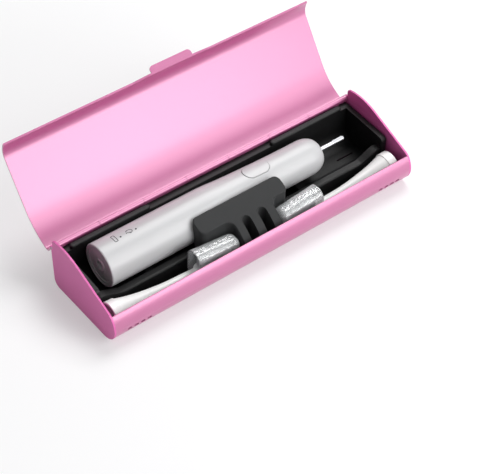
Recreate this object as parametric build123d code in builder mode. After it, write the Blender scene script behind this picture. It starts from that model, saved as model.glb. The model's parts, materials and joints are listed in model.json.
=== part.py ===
"""Travel case for an electric toothbrush, open, with its toothbrush, holder and two capped brush heads.

The case is a rolled metal shell with two end plates, a moulded tray and a lid on a seven-knuckle hinge.
Frame: +X along the case, +Y towards the hinge, +Z up, origin on the bottom face, all sizes in mm.
The lid is drawn closed, in a plane that turns about the hinge, and stands open by lid_opening.
"""
from build123d import *
from math import asin, cos, radians, sin, sqrt, tan
import os

os.makedirs("parts", exist_ok=True)

# ---------------------------------------------------------------- driving dimensions: case
sheet = 1.2                  # wall of the base, the lid and the end plates
back_corner = 5.0            # round between the bottom and the back wall
bulge_drop = 27.1            # from the crown down to where the front lip stands out furthest
lip_upper_radius = 16.0
lip_rise = 9.5               # from there up to the lip's edge
crown_height = 39.6          # highest point of the end plates
crown_inset = 12.6           # from the back wall's face
crown_radius = 40.0
lid_slope = 22.2             # degrees, the flat run of the lid towards the front
plate_back_inset = 1.9       # how far the plates step in behind the lid's back wall
plate_back_round = 2.5
plate_front_round = 8.0

# hinge
hinge_inset = 0.5            # from the back wall's face
hinge_drop = 8.8             # from the crown down to the hinge's axis
knuckle_radius = 1.8
pin_radius = 0.8
pin_clearance = 0.05
knuckle_count = 7
knuckle_gap = 0.3
swing_gap = 0.3              # between the lid and what it closes on or turns past
lid_opening = 145.0          # degrees
lid_edge_rise = 2.0          # the closed lid's front edge, above where the front lip stands out furthest

# latch tab and the flared edge it stands on
tab_x = 7.0
tab_width = 31.0
tab_reach = 4.2
tab_round = 2.5
flare_width = 58.0
flare_run = 12.0
flare_reach = 1.6
dimple_radius = 1.1
dimple_height = 0.45
dimple_spacing = 24.0
dimple_rise = 4.0            # above the lid's edge
dimple_taper = 25.0          # degrees

# vents
vent_count = 4
vent_pitch = 4.7
vent_length = 3.2
vent_width = 2.0
vent_end_distance = 11.0
vent_angle = 17.0            # degrees below the bulge

# tray
tray_gap = 0.2
tray_end_gap = 1.2
tray_floor = 1.8
tray_skin = 1.6
tray_front_height = 17.0
channel_wall = 3.2           # behind the lip
channel_width = 17.4         # at the floor
channel_lean = 1.5           # how far its back wall leans by the crest
channel_round = 7.9
crest_width = 5.1
crest_height = 13.0
crest_round = 1.5
cavity_room = 0.8            # more than the handle's diameter
cavity_front_lean = 5.9      # how far the front wall leans in by the floor
cavity_front_round = 6.0
cavity_back_round = 9.0
tray_back_wall = 5.2
cavity_wall = 3.6            # at both ends
rim_height = 28.2
rim_drop = 2.6               # the end walls fall by this towards the front
rim_round = 0.6
end_wall_step = 0.9          # in front of the crest
end_wall_round = 3.0
rise_run = 20.0
rise_height = 18.0
rail_width = 3.8
rail_height = 2.3
rail_length = 58.0
rail_end_gap = 4.0
rail_inset = 1.5             # from the cavity's edge
rail_round = 1.0
saddle_width = 6.0
saddle_height = 9.5
saddle_shares = (0.15, 0.44, 0.86)   # of the handle's length
drain_end_gap = 12.4
drain_length = 13.5
drain_width = 1.2

# toothbrush handle; distances "along" are counted from its base
handle_gap = 0.65            # to the cavity's back wall
handle_z = 21.0
base_room = 13.0             # from the cavity's end wall to the handle's base
tip_room = 15.2              # from the shaft's tip to the other end wall
handle_length = 167.8
taper_shares = (0.46, 0.55, 0.675, 0.765)   # of the handle's length
taper_radii = (14.5, 13.75, 12.85, 12.4, 12.2)
shoulder_length = 11.0
shoulder_drop = 6.0
base_round = 0.8
housing_wall = 1.6
nose_wall = 2.2
nose_hole = 3.6
seat_gap = 0.3               # between pieces that lift away from each other
fit_gap = 0.05               # between pieces that stay together

# inside and on the handle
base_recess = 0.5
base_thickness = 3.4
base_land = 1.6              # width of the plain ring around the base's dish
base_dish = 0.5
charge_hole_radius = 3.2
charge_hole_depth = 10.0
charge_tube_wall = 1.2
seal_depth = 0.9
seal_width = 1.2
coil_radius = 8.4
coil_length = 8.0
frame_clearance = 0.4        # around the inner frame, where the housing is narrowest
frame_gap = 0.9              # behind the coil
frame_wall = 4.5
bulkhead = 1.6
battery_radius = 7.1
battery_length = 49.0
motor_radius = 8.8
motor_length = 27.0
motor_overrun = 2.0          # how far the motor reaches into the shoulder
motor_boss_radius = 3.4
motor_boss_length = 5.0
shaft_radius = 1.6            # of the free end
shaft_root_radius = 1.4
shaft_clearance = 0.05
shaft_inside = 19.0
shaft_reach = 22.0
shaft_flat = 0.4
shaft_flat_length = 8.5
seal_flange_radius = 4.2
seal_flange = 0.5
board_z = 7.5                # above the handle's axis
board_thickness = 1.2
board_width = 12.0
board_gap = 1.5              # to the motor
board_corner = 1.0
# share along the handle, length, width
chips = ((0.225, 6.0, 6.0), (0.33, 8.0, 5.0), (0.47, 7.0, 7.0), (0.58, 4.0, 3.0))
chip_height = 0.9
button_to_motor = 13.8       # from the button's middle
button_length = 19.0
button_width = 10.5
button_proud = 0.3
button_floor = 9.9           # above the handle's axis
button_tab = 1.0
button_tab_width = 4.0
button_tab_thickness = 0.4
button_travel = 0.8
button_edge = 0.25
switch_size = 5.0
light_start = 16.4
light_pitch = 11.0
light_radius = 0.6

# brush heads; distances "along" are counted from the head's base
head_gap = 0.4               # to the channel's front wall
head_end_gap = 4.3           # between a head's base and the end plate
head_z = 11.9
head_tilt = 3.4              # degrees, tip down
ring_radius = 8.6
ring_length = 6.0
ring_wall = 1.2
ring_step = 0.5
flank_shares = (0.18, 0.31, 0.51)   # of the head's length
flank_radii = (5.9, 4.4, 3.4)
neck_overlap = 2.2           # how far the neck runs into the paddle
neck_slope = -0.25           # of the flank behind the ring
hollow_depth = 22.0
hollow_radius = 3.7          # at its inner end
socket_radius = 2.9
socket_start = 5.5
socket_end = 27.0
paddle_length = 28.0
paddle_edge = 0.4
paddle_width = 10.4
paddle_thickness = 4.6
paddle_round = 1.2
bristle_height = 10.2
bristle_radius = 0.85
bristle_row_count = 7
bristle_column_count = 4
bristle_pitch = 3.1
bristle_column_pitch = 2.1
pad_thickness = 0.5
pad_margin = 0.5

# head caps
cap_back = 1.0               # behind the paddle
cap_front = 3.0              # beyond the tip
cap_to_holder = 1.25
cap_width = 12.6
cap_top = 17.5               # above the head's axis, at the open end
cap_low = 2.9                # below it
cap_draft = 3.0              # degrees
cap_round = 5.2
cap_tip_round = 4.2
cap_wall = 0.8

# holder
holder_left = -36.8
holder_right = 29.7
holder_overhang = 3.45       # over the handle
holder_back_z = 33.4
holder_slope = 22.0          # degrees
holder_top = 11.5
holder_sagitta = 1.42
holder_front_gap = 0.6       # to the channel's front wall
holder_front_z = 16.5
holder_corner = 4.0
holder_edge = 0.8
notch_left_x = -14.6
notch_right_x = 15.4
notch_round = 5.0
slot_width = 6.3
slot_centres = (-5.9, 6.2)
slot_inset = 1.2

# ---------------------------------------------------------------- derived sizes
handle_radius = taper_radii[0]
frame_radius = taper_radii[-1] - housing_wall - frame_clearance
shoulder_start = handle_length - shoulder_length
taper = [(share * handle_length, radius) for share, radius in zip(taper_shares, taper_radii)]
taper.append((shoulder_start, taper_radii[-1]))
shaft_start = handle_length - shaft_inside
shaft_end = handle_length + shaft_reach
cavity_half = (base_room + shaft_end + tip_room) / 2
handle_base_x = base_room - cavity_half
case_length = 2 * (cavity_half + cavity_wall + tray_end_gap + sheet)
cavity_width = 2 * handle_radius + cavity_room
case_depth = (2 * (sheet + tray_gap) + channel_wall + channel_width + channel_lean + crest_width
              + cavity_width + tray_back_wall)
half = case_length / 2
back_y = case_depth / 2
front_y = -case_depth / 2
hinge_y = back_y - hinge_inset
crown_y = back_y - crown_inset
hinge_z = crown_height - hinge_drop
bulge_height = crown_height - bulge_drop
lip_height = bulge_height + lip_rise
lid_edge_height = bulge_height + lid_edge_rise
channel_front_y = front_y + sheet + tray_gap + channel_wall
channel_back_y = channel_front_y + channel_width
crest_front_y = channel_back_y + channel_lean
cavity_front_y = crest_front_y + crest_width
cavity_back_y = cavity_front_y + cavity_width
handle_y = cavity_back_y - handle_gap - handle_radius
head_y = channel_front_y + head_gap + ring_radius
inner_half = half - sheet
plate_back_y = back_y - plate_back_inset
slope = radians(lid_slope)
crown_centre = (crown_y, crown_height - crown_radius)
slope_start = (crown_y - crown_radius * sin(slope), crown_centre[1] + crown_radius * cos(slope))
lip_centre = (front_y + lip_upper_radius, bulge_height)


def slope_line(outset, along):
    """A point on the lid's straight run, pushed out from the end plates' edge."""
    return (
        slope_start[0] - outset * sin(slope) - along * cos(slope),
        slope_start[1] + outset * cos(slope) - along * sin(slope),
    )


def front_corner(outset):
    """Where the straight run meets the upper arc of the lip, both pushed out."""
    y0, z0 = slope_line(outset, 0)
    radius = lip_upper_radius + outset
    dy, dz = y0 - lip_centre[0], z0 - lip_centre[1]
    b = dy * cos(slope) + dz * sin(slope)
    along = b + sqrt(b * b - (dy * dy + dz * dz - radius * radius))
    return slope_line(outset, along)


def lip_point(radius, z):
    """The point of a circle about the lip's centre at one height, on the front side."""
    return (lip_centre[0] - sqrt(radius**2 - (z - lip_centre[1]) ** 2), z)


def crown_point(outset, y):
    radius = crown_radius + outset
    return (y, crown_centre[1] + sqrt(radius**2 - (y - crown_centre[0]) ** 2))


def closing_curve(outset, back_low, front_low):
    """The line from the back wall over the crown and down the front, as open edges."""
    back = plate_back_y + outset
    top = crown_point(outset, back)
    run = slope_line(outset, 0)
    corner = front_corner(outset)
    radius = lip_upper_radius + outset
    front = lip_point(radius, front_low)
    crown_mid = crown_point(outset, (top[0] + run[0]) / 2)
    lip_mid = lip_point(radius, (corner[1] + front_low) / 2)
    Line((back, back_low), top)
    ThreePointArc(top, crown_mid, run)
    Line(run, corner)
    ThreePointArc(corner, lip_mid, front)
    return top, corner, front


def handle_radius_at(along):
    """The handle's outer radius at a distance from its base, between the taper's points."""
    for (x0, r0), (x1, r1) in zip(taper, taper[1:]):
        if x0 <= along <= x1:
            return r0 + (r1 - r0) * (along - x0) / (x1 - x0)
    return taper[0][1] if along < taper[0][0] else taper[-1][1]


def round_corners(sketch, corners):
    """Round the sketch's vertices nearest to the given points, each by its own radius."""
    for point, radius in corners:
        vertex = sketch.vertices().sort_by_distance(Vector(*point))[0]
        fillet(vertex, radius)


# ---------------------------------------------------------------- base shell
wall_top = hinge_z - knuckle_radius - swing_gap
barrel_length = 2 * (inner_half - swing_gap)
knuckle_pitch = (barrel_length + knuckle_gap) / knuckle_count
knuckle_length = knuckle_pitch - knuckle_gap
base_knuckles = [knuckle_pitch * (i - knuckle_count // 2) for i in range(0, knuckle_count, 2)]
lid_knuckles = [knuckle_pitch * (i - knuckle_count // 2) for i in range(1, knuckle_count, 2)]


def base_outline(inset, back_top, lip_top):
    """The section of the base as one closed face, drawn inside the outer skin by inset."""
    back = back_y - inset
    corner = back_corner - inset
    low = bulge_height - inset
    low_centre_y = front_y + bulge_height
    high = lip_upper_radius - inset
    edge = lip_point(high, lip_top)
    low_mid = (low_centre_y - low * sin(radians(45)), bulge_height - low * cos(radians(45)))
    corner_mid = (back - corner * (1 - cos(radians(45))), inset + corner * (1 - sin(radians(45))))
    Line((back, back_top), (back, inset + corner))
    ThreePointArc((back, inset + corner), corner_mid, (back - corner, inset))
    Line((back - corner, inset), (low_centre_y, inset))
    ThreePointArc((low_centre_y, inset), low_mid, (front_y + inset, bulge_height))
    ThreePointArc(
        (front_y + inset, bulge_height), lip_point(high, (bulge_height + lip_top) / 2), edge
    )
    return edge


with BuildPart() as base_shell:
    with BuildSketch(Plane.YZ.offset(-inner_half)):
        with BuildLine():
            edge = base_outline(0, wall_top, lip_height)
            Polyline(edge, (edge[0] + 2 * sheet, lip_height), (back_y - 2 * sheet, wall_top),
                     (back_y, wall_top))
        make_face()
        with BuildLine():
            edge = base_outline(sheet, crown_height, lip_height + sheet)
            Polyline(edge, (edge[0], crown_height), (back_y - sheet, crown_height))
        make_face(mode=Mode.SUBTRACT)
    extrude(amount=2 * inner_half)
    lip_edges = base_shell.edges().filter_by(Axis.X).filter_by_position(
        Axis.Z, lip_height - 0.01, lip_height + 0.01)
    fillet(lip_edges, sheet * 0.4)
    # knuckles that belong to the base, each on a web that rises from the back wall
    for x in base_knuckles:
        with BuildSketch(Plane.YZ.offset(x - knuckle_length / 2)):
            with Locations((hinge_y, hinge_z)):
                Circle(knuckle_radius)
            with Locations((back_y - sheet / 2, (wall_top + hinge_z) / 2 - sheet / 2)):
                Rectangle(sheet, hinge_z - wall_top + sheet)
        extrude(amount=knuckle_length)
    with BuildSketch(Plane.YZ.offset(-inner_half)):
        with Locations((hinge_y, hinge_z)):
            Circle(pin_radius + pin_clearance)
    extrude(amount=2 * inner_half, mode=Mode.SUBTRACT)
    # vents low on the front lip, near both ends
    tilt = radians(vent_angle)
    vent_y = front_y + bulge_height - bulge_height * cos(tilt)
    vent_z = bulge_height - bulge_height * sin(tilt)
    vent_plane = Plane(origin=(0, vent_y, vent_z), x_dir=(1, 0, 0), z_dir=(0, -cos(tilt), -sin(tilt)))
    with BuildSketch(vent_plane):
        for side in (-1, 1):
            for i in range(vent_count):
                with Locations((side * (half - vent_end_distance - i * vent_pitch), 0)):
                    SlotOverall(vent_length, vent_width)
    extrude(amount=2 * sheet, both=True, mode=Mode.SUBTRACT)

# ---------------------------------------------------------------- end plates


def plate_outline():
    """The outline that closes an end of the case, stepped in at the back to clear the lid."""
    edge = base_outline(0, hinge_z + pin_radius, bulge_height + 1)
    step = (plate_back_y, hinge_z + knuckle_radius + swing_gap)
    closing_curve(0, step[1], edge[1])
    Line(step, (back_y, hinge_z + pin_radius))


plate_rounds = (
    (crown_point(0, plate_back_y), plate_back_round),
    (front_corner(0), plate_front_round),
)
end_plates = {}
for label, x in (("left_end_plate", -half), ("right_end_plate", inner_half)):
    with BuildPart() as end_plate:
        with BuildSketch(Plane.YZ.offset(x)) as plate_sketch:
            with BuildLine():
                plate_outline()
            make_face()
            round_corners(plate_sketch, plate_rounds)
            with Locations((hinge_y, hinge_z)):
                Circle(knuckle_radius)
                Circle(pin_radius, mode=Mode.SUBTRACT)
        extrude(amount=sheet)
    end_plates[label] = end_plate

with BuildPart() as hinge_pin:
    with BuildSketch(Plane.YZ.offset(-half)):
        with Locations((hinge_y, hinge_z)):
            Circle(pin_radius)
    extrude(amount=case_length)

# ---------------------------------------------------------------- lid, drawn closed in the lid's own plane
opening = radians(lid_opening)
lid_back = Vector(0, cos(opening), -sin(opening))     # +Y of the closed lid, where it stands now
lid_up = Vector(0, sin(opening), cos(opening))        # +Z of the closed lid, where it stands now


def on_lid(x, y, z):
    """Where a point of the closed lid lies now that the lid is open."""
    return Vector(x, hinge_y, hinge_z) + lid_back * (y - hinge_y) + lid_up * (z - hinge_z)


def lid_plane(x):
    """The plane across the lid whose local coordinates are the closed lid's own Y and Z."""
    return Plane(origin=on_lid(x, 0, 0), x_dir=lid_back, z_dir=(1, 0, 0))


lid_inner = swing_gap
lid_outer = swing_gap + sheet
lid_foot = hinge_z + knuckle_radius + swing_gap       # lower edge of the lid's back wall, when closed
flare_low = lid_edge_height - flare_reach

with BuildPart() as lid_shell:
    with BuildSketch(lid_plane(-half)) as lid_section:
        with BuildLine():
            top, corner, front = closing_curve(lid_outer, lid_foot, flare_low)
            Polyline(front, (front[0] + 3 * sheet, flare_low),
                     (plate_back_y - 3 * sheet, lid_foot), (plate_back_y + lid_outer, lid_foot))
        make_face()
        round_corners(lid_section, [
            (crown_point(lid_outer, plate_back_y + lid_outer), plate_back_round + lid_outer),
            (front_corner(lid_outer), plate_front_round + lid_outer),
        ])
        with BuildSketch(mode=Mode.SUBTRACT) as lid_hollow:
            with BuildLine():
                top, corner, front = closing_curve(lid_inner, 0, flare_low - sheet)
                Line(front, (plate_back_y + lid_inner, 0))
            make_face()
            round_corners(lid_hollow, [
                (crown_point(lid_inner, plate_back_y + lid_inner), plate_back_round + lid_inner),
                (front_corner(lid_inner), plate_front_round + lid_inner),
            ])
    extrude(amount=case_length)
    # the front edge is higher outside the flare that carries the tab
    edge_plane = Plane(origin=on_lid(0, 0, 0), x_dir=(1, 0, 0), z_dir=lid_back * -1)
    with BuildSketch(edge_plane):
        for side in (-1, 1):
            inner_x = tab_x + side * (flare_width / 2 - flare_run)
            outer_x = tab_x + side * flare_width / 2
            with BuildLine():
                Polyline((inner_x, flare_low - sheet), (inner_x, flare_low), (outer_x, lid_edge_height),
                         (side * case_length, lid_edge_height), (side * case_length, flare_low - sheet),
                         close=True)
            make_face()
    extrude(amount=case_depth, mode=Mode.SUBTRACT)
    # the tab, turned outwards from the flared edge
    tab_root = lip_point(lip_upper_radius + lid_outer, flare_low + sheet)[0] + sheet / 2
    with BuildSketch(Plane(origin=on_lid(0, 0, flare_low), x_dir=(1, 0, 0), z_dir=lid_up)) as tab_sketch:
        with Locations((tab_x, tab_root - (tab_reach + sheet / 2) / 2)):
            Rectangle(tab_width, tab_reach + sheet / 2)
        fillet(tab_sketch.vertices().group_by(Axis.Y)[0], tab_round)
    extrude(amount=sheet)
    # two raised dimples above the tab
    dimple_z = lid_edge_height + dimple_rise
    dimple_y = lip_point(lip_upper_radius + lid_outer, dimple_z)[0]
    lean = asin((dimple_z - bulge_height) / (lip_upper_radius + lid_outer))
    dimple_axis = lid_back * -cos(lean) + lid_up * sin(lean)
    for side in (-1, 1):
        place = on_lid(tab_x + side * dimple_spacing / 2, dimple_y, dimple_z)
        place -= dimple_axis * (sheet / 2)
        with BuildSketch(Plane(origin=place, x_dir=(1, 0, 0), z_dir=dimple_axis)):
            Circle(dimple_radius + sheet / 4)
        extrude(amount=sheet / 2 + dimple_height, taper=dimple_taper)
    # knuckles that belong to the lid
    for x in lid_knuckles:
        with BuildSketch(lid_plane(x - knuckle_length / 2)):
            with Locations((hinge_y, hinge_z)):
                Circle(knuckle_radius)
            with Locations((plate_back_y + lid_inner + sheet / 2, (hinge_z + lid_foot + sheet) / 2)):
                Rectangle(sheet, lid_foot + sheet - hinge_z)
        extrude(amount=knuckle_length)
    with BuildSketch(lid_plane(-half)):
        with Locations((hinge_y, hinge_z)):
            Circle(pin_radius + pin_clearance)
    extrude(amount=case_length, mode=Mode.SUBTRACT)

# ---------------------------------------------------------------- tray
tray_half = inner_half - tray_end_gap
floor_z = sheet + tray_floor
tray_inset = sheet + tray_gap
tray_front = lip_point(lip_upper_radius - tray_inset, tray_front_height)
tray_back_y = back_y - tray_inset
end_wall_front_y = crest_front_y - end_wall_step
rim_front = (end_wall_front_y, rim_height - rim_drop)
rise_start = cavity_half - rise_run
rail_middle = cavity_half - rail_end_gap - rail_length / 2


def tray_plane(x):
    """A plane across the tray, lowered by the side gap so that the tray rests on the shell."""
    return Plane(origin=(x, 0, -tray_gap), x_dir=(0, 1, 0), z_dir=(1, 0, 0))


with BuildPart() as inner_tray:
    with BuildSketch(tray_plane(-tray_half)):
        with BuildLine():
            edge = base_outline(tray_inset, rim_height + tray_gap, tray_front_height + tray_gap)
            Polyline(edge, (edge[0], rim_height + tray_gap), (tray_back_y, rim_height + tray_gap))
        make_face()
    extrude(amount=2 * tray_half)
    with BuildSketch(Plane.YZ.offset(-tray_half)) as tray_section:
        with BuildLine():
            Polyline(
                (front_y, tray_front_height),
                (channel_front_y, tray_front_height),
                (channel_front_y, floor_z),
                (channel_back_y, floor_z),
                (crest_front_y, crest_height),
                (cavity_front_y, crest_height),
                (cavity_front_y + cavity_front_lean, floor_z),
                (cavity_back_y, floor_z),
                (cavity_back_y, crown_height),
                (front_y, crown_height),
                close=True,
            )
        make_face()
        round_corners(tray_section, [
            ((channel_front_y, tray_front_height), rim_round),
            ((channel_front_y, floor_z), channel_round),
            ((channel_back_y, floor_z), crest_round),
            ((crest_front_y, crest_height), crest_round),
            ((cavity_front_y, crest_height), crest_round),
            ((cavity_front_y + cavity_front_lean, floor_z), cavity_front_round),
            ((cavity_back_y, floor_z), cavity_back_round),
        ])
    extrude(amount=2 * tray_half, mode=Mode.SUBTRACT)
    # end walls of the handle's cavity, and the crest that rises to meet them
    for x in (-tray_half, cavity_half):
        with BuildSketch(Plane.YZ.offset(x)) as wall_sketch:
            with BuildLine():
                Polyline((end_wall_front_y, floor_z - sheet / 2), rim_front, (cavity_back_y, rim_height),
                         (tray_back_y, rim_height), (tray_back_y, floor_z + back_corner),
                         (cavity_back_y, floor_z - sheet / 2), close=True)
            make_face()
            round_corners(wall_sketch, [(rim_front, end_wall_round)])
        extrude(amount=tray_half - cavity_half)
    for side in (-1, 1):
        with BuildSketch(Plane.XZ.offset(-cavity_front_y)):
            with BuildLine():
                Spline((side * rise_start, crest_height - rim_round), (side * cavity_half, rise_height),
                       tangents=((side, 0), (side, 0)))
                Polyline((side * cavity_half, rise_height), (side * tray_half, rise_height),
                         (side * tray_half, floor_z), (side * rise_start, floor_z),
                         (side * rise_start, crest_height - rim_round))
            make_face()
        extrude(amount=cavity_front_y - crest_front_y)
    # rails on the back rim
    with BuildSketch(Plane.XY.offset(rim_height)):
        for side in (-1, 1):
            with Locations((side * rail_middle, cavity_back_y + rail_inset)):
                SlotOverall(rail_length, rail_width)
    extrude(amount=rail_height)
    fillet(inner_tray.faces().filter_by_position(Axis.Z, rim_height + rail_height - 0.01,
                                                 rim_height + rail_height + 0.01).edges(), rail_round)
    # saddles that carry the handle
    for share in saddle_shares:
        along = share * handle_length
        with BuildSketch(Plane.YZ.offset(handle_base_x + along)):
            with BuildLine():
                Polyline((cavity_front_y + cavity_front_lean, sheet + tray_floor / 2),
                         (cavity_front_y + cavity_front_lean * 0.4, saddle_height),
                         (cavity_back_y + tray_skin, saddle_height),
                         (cavity_back_y - cavity_back_round / 2, sheet + tray_floor / 2), close=True)
            make_face()
            with Locations((handle_y, handle_z)):
                Circle(handle_radius_at(along) + seat_gap, mode=Mode.SUBTRACT)
        extrude(amount=saddle_width)
    # pockets from below, so that the moulding keeps an even wall
    with BuildSketch(Plane.YZ.offset(-tray_half + tray_skin)) as pockets:
        with BuildLine():
            Polyline((channel_back_y + tray_skin + crest_round / 3, 0),
                     (crest_front_y + tray_skin, crest_height - tray_skin),
                     (cavity_front_y - tray_skin, crest_height - tray_skin),
                     (cavity_front_y + cavity_front_lean - tray_skin - crest_round, 0), close=True)
        make_face()
        with Locations(((cavity_back_y + tray_back_y) / 2, (rim_height - tray_skin) / 2)):
            Rectangle(tray_back_y - cavity_back_y - 2 * tray_skin, rim_height - tray_skin)
    extrude(amount=2 * (tray_half - tray_skin), mode=Mode.SUBTRACT)
    # drain in the cavity's floor
    with BuildSketch(Plane.XY):
        with Locations((cavity_half - drain_end_gap, handle_y)):
            SlotOverall(drain_length, drain_width)
    extrude(amount=floor_z + sheet, mode=Mode.SUBTRACT)

# ---------------------------------------------------------------- toothbrush handle
handle_axis = Axis((handle_base_x, handle_y, handle_z), (1, 0, 0))
nose_radius = taper[-1][1] - shoulder_drop
light_places = (light_start, light_start + light_pitch)
base_end = base_recess + base_thickness
frame_start = base_end + coil_length + frame_gap
battery_start = frame_start + frame_wall
battery_end = battery_start + battery_length
motor_end = shoulder_start + motor_overrun
motor_start = motor_end - motor_length
frame_end = motor_end + bulkhead
button_along = motor_start - button_to_motor


def handle_side(up=0):
    """The plane through the handle's axis: local X along it from the base, local Y up."""
    return Plane(origin=(handle_base_x, handle_y, handle_z + up), x_dir=(1, 0, 0), z_dir=(0, -1, 0))


def handle_across(along):
    """A plane across the handle, local X towards the hinge and local Y up."""
    return Plane(origin=(handle_base_x + along, handle_y, handle_z), x_dir=(0, 1, 0), z_dir=(1, 0, 0))


def handle_above(up):
    """A plane above the handle's axis, local X along it from the base."""
    return Plane(origin=(handle_base_x, handle_y, handle_z + up), x_dir=(1, 0, 0), z_dir=(0, 0, 1))


def ring(inner, outer, start, end):
    """Four sides of a revolved ring's section, between two radii and two distances."""
    Polyline((start, inner), (end, inner), (end, outer), (start, outer), close=True)


with BuildPart() as handle_housing:
    with BuildSketch(handle_side()) as housing_section:
        with BuildLine():
            Line((0, handle_radius - housing_wall), (0, handle_radius))
            Line((0, handle_radius), taper[0])
            Spline(taper, tangents=((1, 0), (1, 0)))
            EllipticalCenterArc((shoulder_start, nose_radius), shoulder_length, shoulder_drop,
                                start_angle=0, arc_size=90)
            Polyline((handle_length, nose_radius), (handle_length, nose_hole),
                     (handle_length - nose_wall, nose_hole), (handle_length - nose_wall, nose_radius))
            EllipticalCenterArc((shoulder_start, nose_radius), shoulder_length - nose_wall,
                                shoulder_drop - housing_wall, start_angle=0, arc_size=90)
            Spline([(x, radius - housing_wall) for x, radius in taper], tangents=((1, 0), (1, 0)))
            Line((taper[0][0], taper[0][1] - housing_wall), (0, handle_radius - housing_wall))
        make_face()
        round_corners(housing_section, [((0, handle_radius), base_round)])
    revolve(axis=handle_axis)
    # opening for the button, holes for the lights
    with BuildSketch(handle_above(0)):
        with Locations((button_along, 0)):
            SlotOverall(button_length + 2 * seat_gap, button_width + 2 * seat_gap)
        with Locations(*[(along, 0) for along in light_places]):
            Circle(light_radius + fit_gap)
    extrude(amount=2 * handle_radius, mode=Mode.SUBTRACT)

charge_end = base_recess + charge_hole_depth
inner_radius = handle_radius - housing_wall - fit_gap
with BuildPart() as base_cap:
    with BuildSketch(handle_side()):
        with BuildLine():
            Polyline(
                (base_recess, inner_radius), (base_recess, inner_radius - base_land),
                (base_recess + base_dish, inner_radius - base_land - base_dish),
                (base_recess + base_dish, charge_hole_radius + charge_tube_wall + base_dish),
                (base_recess, charge_hole_radius + charge_tube_wall), (base_recess, charge_hole_radius),
                (charge_end, charge_hole_radius), (charge_end, 0), (charge_end + charge_tube_wall, 0),
                (charge_end + charge_tube_wall, charge_hole_radius + charge_tube_wall),
                (base_end, charge_hole_radius + charge_tube_wall), (base_end, inner_radius),
                (base_end - base_land + seal_width / 2, inner_radius),
                (base_end - base_land + seal_width / 2, inner_radius - seal_depth),
                (base_end - base_land - seal_width / 2, inner_radius - seal_depth),
                (base_end - base_land - seal_width / 2, inner_radius), close=True)
        make_face()
    revolve(axis=handle_axis)

with BuildPart() as seal_ring:
    with BuildSketch(handle_side()):
        with BuildLine():
            ring(inner_radius - seal_depth, inner_radius + fit_gap,
                 base_end - base_land - seal_width / 2, base_end - base_land + seal_width / 2)
        make_face()
    revolve(axis=handle_axis)

with BuildPart() as charging_coil:
    with BuildSketch(handle_side()):
        with BuildLine():
            ring(charge_hole_radius + charge_tube_wall, coil_radius, base_end, base_end + coil_length)
        make_face()
    revolve(axis=handle_axis)

frame_walls = (
    (frame_start, battery_start), (battery_end, battery_end + bulkhead),
    (motor_start - bulkhead, motor_start), (motor_end, frame_end),
)
with BuildPart() as inner_frame:
    # the lower half carries everything; the bulkheads rise to the board
    with BuildSketch(handle_across(frame_start)):
        Circle(frame_radius)
        with Locations((0, frame_radius)):
            Rectangle(2 * frame_radius, 2 * frame_radius, mode=Mode.SUBTRACT)
    extrude(amount=frame_end - frame_start)
    for start, end in frame_walls:
        with BuildSketch(handle_across(start)):
            Circle(frame_radius)
            with Locations((0, board_z + frame_radius)):
                Rectangle(2 * frame_radius, 2 * frame_radius, mode=Mode.SUBTRACT)
        extrude(amount=end - start)
    for start, end, radius in (
        (battery_start, battery_end, battery_radius),
        (battery_end + bulkhead, motor_start - bulkhead, motor_radius),
        (motor_start, motor_end, motor_radius),
        (motor_end - bulkhead, frame_end + bulkhead, motor_boss_radius),
    ):
        with BuildSketch(handle_across(start)):
            Circle(radius)
        extrude(amount=end - start, mode=Mode.SUBTRACT)

with BuildPart() as battery:
    with BuildSketch(handle_across(battery_start)):
        Circle(battery_radius)
    extrude(amount=battery_length)
    fillet(battery.edges(), seal_depth)

with BuildPart() as drive_motor:
    with BuildSketch(handle_across(motor_start)):
        Circle(motor_radius)
    extrude(amount=motor_length)
    fillet(drive_motor.edges(), seal_depth)
    with BuildSketch(handle_across(motor_end - seal_depth)):
        Circle(motor_boss_radius)
    extrude(amount=motor_boss_length + seal_depth)
    with BuildSketch(handle_across(shaft_start - seat_gap)):
        Circle(shaft_root_radius + shaft_clearance)
    extrude(amount=motor_length, mode=Mode.SUBTRACT)

board_top = board_z + board_thickness
board_end = motor_start - board_gap
with BuildPart() as circuit_board:
    with BuildSketch(handle_above(board_z)):
        with Locations(((frame_start + board_end) / 2, 0)):
            RectangleRounded(board_end - frame_start, board_width, board_corner)
    extrude(amount=board_thickness)
    with BuildSketch(handle_above(board_top)):
        for share, length, width in chips:
            with Locations((share * handle_length, 0)):
                Rectangle(length, width)
    extrude(amount=chip_height)
    with BuildSketch(handle_above(board_top)):
        with Locations((button_along, 0)):
            Rectangle(switch_size, switch_size)
    extrude(amount=button_floor - button_travel - seat_gap / 2 - board_top)

with BuildPart() as indicator_lenses:
    with BuildSketch(handle_above(board_top)):
        with Locations((sum(light_places) / 2, 0)):
            SlotOverall(light_places[1] - light_places[0] + 4 * light_radius, 3 * light_radius)
    extrude(amount=light_radius)
    with BuildSketch(handle_above(board_top)):
        with Locations(*[(along, 0) for along in light_places]):
            Circle(light_radius)
    extrude(amount=handle_radius - board_top)

with BuildPart() as shaft_seal:
    with BuildSketch(handle_side()):
        with BuildLine():
            inner = shaft_root_radius + shaft_clearance
            Polyline((handle_length - nose_wall, inner), (handle_length + seal_flange, inner),
                     (handle_length + seal_flange, seal_flange_radius), (handle_length, seal_flange_radius),
                     (handle_length, nose_hole - fit_gap), (handle_length - nose_wall, nose_hole - fit_gap),
                     close=True)
        make_face()
    revolve(axis=handle_axis)

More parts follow.
